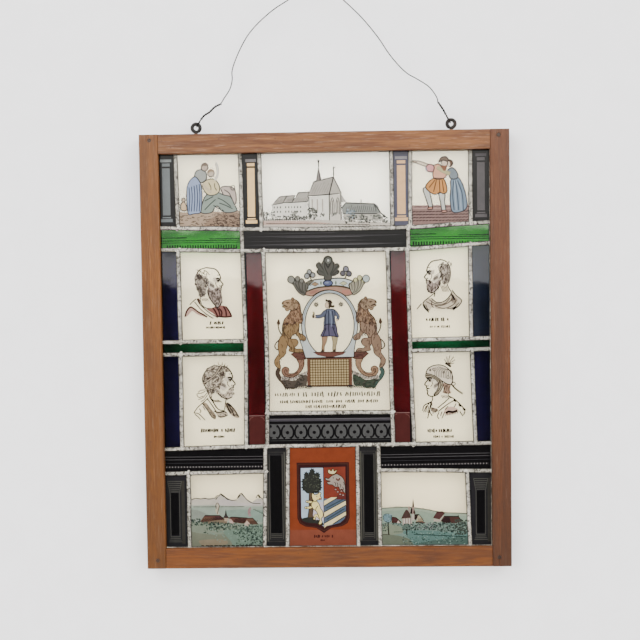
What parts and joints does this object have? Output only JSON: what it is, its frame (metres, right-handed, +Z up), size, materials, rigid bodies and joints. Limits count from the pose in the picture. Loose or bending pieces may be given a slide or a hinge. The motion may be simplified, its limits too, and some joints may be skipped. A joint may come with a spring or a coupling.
{
  "type": "framed stained glass panel",
  "caption": "Leaded and painted glass panel of pictures, pilasters and plain strips in a pegged wooden frame, hung by an iron wire from screw eyes.",
  "frame": {"origin": "top of the hanging wire, where it lies over its hook, in the middle of the panel's thickness", "axes": "+X to the right as seen from the painted front, +Y out of the back, +Z up"},
  "size_m": [0.5, 0.02, 0.797],
  "materials": {
    "wood": "old stained softwood, worn and bruised at the edges",
    "peg_wood": "end grain of darkened wooden pegs",
    "lead": "grey lead came, crinkled, with tin-bright solder",
    "iron": "dark drawn iron",
    "glass_cream_painted": "clear glass with fired enamel and grisaille",
    "glass_white_painted": "clear glass with fired grey and tinted paint",
    "glass_landscape_painted": "clear glass with fired enamel landscape",
    "glass_grey_painted": "clear glass with grey fired paint",
    "glass_peach_painted": "clear glass with peach stain and dark paint",
    "glass_bright_green": "bright green glass with thin dark lines",
    "glass_deep_green": "deep green glass",
    "glass_indigo": "indigo glass",
    "glass_slate_blue": "slate blue glass",
    "glass_ruby": "ruby glass with dark painted edges",
    "glass_amber_painted": "amber glass with fired enamel",
    "glass_black_painted": "glass nearly covered with black paint"
  },
  "bodies": {
    "root": {"pane_top_pilaster_far_left": "glass_grey_painted", "pane_group_picture": "glass_cream_painted", "pane_top_pilaster_left": "glass_peach_painted", "pane_church_picture": "glass_white_painted", "pane_top_pilaster_right": "glass_peach_painted", "pane_couple_picture": "glass_cream_painted", "pane_top_pilaster_far_right": "glass_grey_painted", "pane_green_frieze_left": "glass_bright_green", "pane_black_cornice": "glass_black_painted", "pane_green_frieze_right": "glass_bright_green", "pane_edge_strip_upper_left": "glass_indigo", "pane_bust_upper_left": "glass_cream_painted", "pane_green_band_left": "glass_deep_green", "pane_edge_strip_lower_left": "glass_indigo", "pane_bust_lower_left": "glass_cream_painted", "pane_ruby_strip_left": "glass_ruby", "pane_arms_picture": "glass_cream_painted", "pane_ring_frieze": "glass_black_painted", "pane_ruby_strip_right": "glass_ruby", "pane_bust_upper_right": "glass_cream_painted", "pane_edge_strip_upper_right": "glass_slate_blue", "pane_green_band_right": "glass_deep_green", "pane_bust_lower_right": "glass_cream_painted", "pane_edge_strip_lower_right": "glass_indigo", "pane_entablature_left": "glass_black_painted", "pane_foot_pilaster_far_left": "glass_black_painted", "pane_landscape_left": "glass_landscape_painted", "pane_foot_pilaster_left": "glass_black_painted", "pane_shield_picture": "glass_amber_painted", "pane_foot_pilaster_right": "glass_black_painted", "pane_entablature_right": "glass_black_painted", "pane_landscape_right": "glass_landscape_painted", "pane_foot_pilaster_far_right": "glass_black_painted", "lead_came_net": "lead", "frame_rail_top": "wood", "frame_rail_bottom": "wood", "frame_stile_left": "wood", "frame_stile_right": "wood", "peg_top_left": "peg_wood", "peg_top_right": "peg_wood", "peg_bottom_left": "peg_wood", "peg_bottom_right": "peg_wood", "screw_eye_left": "iron", "screw_eye_right": "iron", "hanging_wire": "iron"}
  },
  "joints": []
}
